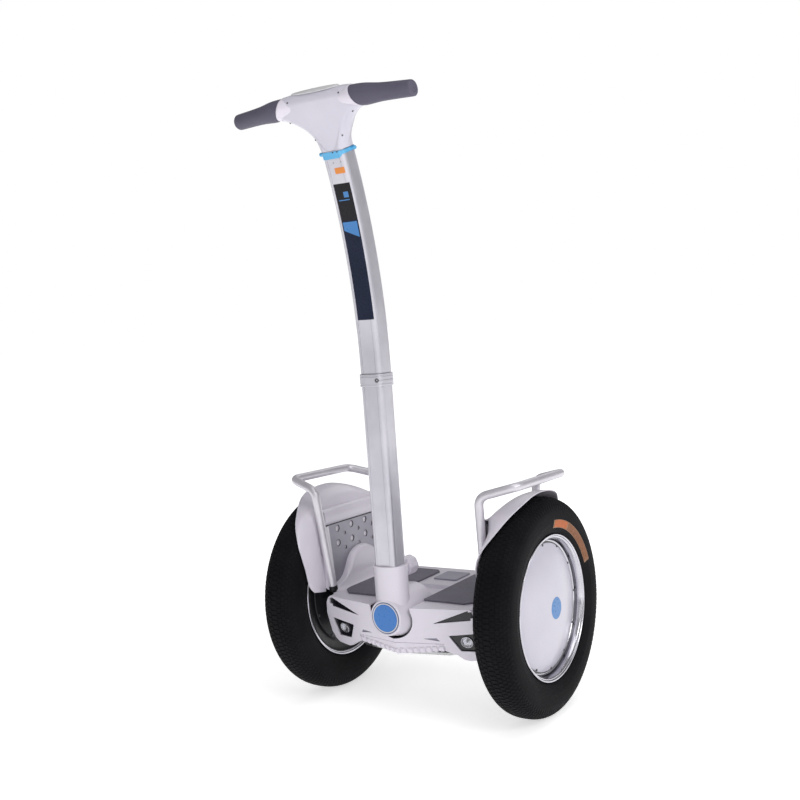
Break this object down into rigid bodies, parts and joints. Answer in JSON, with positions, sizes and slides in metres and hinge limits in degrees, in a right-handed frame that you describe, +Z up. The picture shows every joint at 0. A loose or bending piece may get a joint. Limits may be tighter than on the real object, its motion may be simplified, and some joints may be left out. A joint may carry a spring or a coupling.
{
  "type": "self-balancing personal transporter",
  "caption": "Ride-on platform between wide hub-motor wheels, with fender guards and a leaning, height-adjustable steering stem with handlebar.",
  "frame": {"origin": "centre of the bottom of the whole box, on the ground midway between the wheels", "axes": "+Z up, -Y towards the front, +X towards the wheel on the right as seen from the front"},
  "size_m": [0.626, 0.5436, 1.3388],
  "materials": {
    "white_plastic": "satin",
    "black_plastic": "matte",
    "tyre_rubber": "matte",
    "mat_rubber": "matte",
    "grip_rubber": "matte",
    "satin_aluminium": "brushed",
    "polished_rim": "polished",
    "cast_aluminium": "cast",
    "perforated_steel": "satin",
    "steel": "brushed",
    "blue_plastic": "gloss",
    "sky_plastic": "gloss",
    "grey_plastic": "matte",
    "pale_grey_plastic": "satin",
    "clear_lens": "clear gloss",
    "red_lens": "gloss",
    "copper_winding": "wound wire",
    "battery_case": "matte",
    "board_green": "satin"
  },
  "bodies": {
    "chassis": {"arch_cover_left": "white_plastic", "arch_cover_right": "white_plastic", "axle_left": "steel", "axle_right": "steel", "battery_pack": "battery_case", "bottom_pan": "steel", "centre_panel": "grey_plastic", "centring_bush": "grip_rubber", "charging_socket": "black_plastic", "chassis_frame": "cast_aluminium", "chin_guard": "white_plastic", "control_board": "board_green", "deck_cover": "white_plastic", "fender_left": "white_plastic", "fender_plate_left": "perforated_steel", "fender_plate_right": "perforated_steel", "fender_right": "white_plastic", "foot_mat_left": "mat_rubber", "foot_mat_right": "mat_rubber", "front_cover": "white_plastic", "headlight_bezel_left": "black_plastic", "headlight_bezel_right": "black_plastic", "headlight_lens_left": "clear_lens", "headlight_lens_right": "clear_lens", "motor_stator_left": "copper_winding", "motor_stator_right": "copper_winding", "rear_cover": "white_plastic", "side_rail_left": "satin_aluminium", "side_rail_right": "satin_aluminium", "steering_shaft": "steel", "tail_light": "red_lens"},
    "wheel_left": {"tyre_left": "tyre_rubber", "wheel_rim_left": "polished_rim", "motor_cover_outer_left": "white_plastic", "motor_cover_inner_left": "black_plastic", "wheel_bearing_outer_left": "steel", "wheel_bearing_inner_left": "steel"},
    "wheel_right": {"tyre_right": "tyre_rubber", "wheel_rim_right": "polished_rim", "motor_cover_outer_right": "white_plastic", "motor_cover_inner_right": "black_plastic", "wheel_bearing_outer_right": "steel", "wheel_bearing_inner_right": "steel"},
    "steering": {"stem_base": "white_plastic", "base_badge": "blue_plastic", "lower_stem": "satin_aluminium", "stem_collar": "satin_aluminium", "shaft_bearing_front": "steel", "shaft_bearing_rear": "steel"},
    "knob": {"clamp_knob": "white_plastic"},
    "handlebar": {"upper_stem": "satin_aluminium", "stem_ring": "sky_plastic", "handlebar_core": "steel", "head_front_cover": "white_plastic", "head_rear_cover": "white_plastic", "display_panel": "pale_grey_plastic", "grip_left": "grip_rubber", "grip_right": "grip_rubber"},
    "cap": {"port_cap": "black_plastic"},
    "button": {"power_button": "blue_plastic"}
  },
  "joints": [
    {"name": "wheel_left_spin", "type": "hinge", "parent": "chassis", "child": "wheel_left", "pos_m": [-0.27, 0.03735, 0.2345], "axis": [1, 0, 0], "continuous": true},
    {"name": "wheel_right_spin", "type": "hinge", "parent": "chassis", "child": "wheel_right", "pos_m": [0.27, 0.03735, 0.2345], "axis": [1, 0, 0], "continuous": true},
    {"name": "steering_lean", "type": "hinge", "parent": "chassis", "child": "steering", "pos_m": [0, -0.11765, 0.2346], "axis": [0, 1, 0], "range_deg": [-12, 12], "stiffness_Nm_per_rad": 150},
    {"name": "knob_turn", "type": "hinge", "parent": "steering", "child": "knob", "pos_m": [0, -0.07085, 0.327], "axis": [0, 1, 0], "range_deg": [-540, 0]},
    {"name": "height_slide", "type": "slide", "parent": "steering", "child": "handlebar", "axis": [0, 0, 1], "range_m": [0, 0.12]},
    {"name": "cap_hinge", "type": "hinge", "parent": "chassis", "child": "cap", "pos_m": [0.115, 0.20335, 0.2113], "axis": [1, 0, 0], "range_deg": [0, 110]},
    {"name": "button_press", "type": "slide", "parent": "chassis", "child": "button", "axis": [0, -1, 0], "range_m": [0, 0.002], "stiffness_N_per_m": 400}
  ]
}
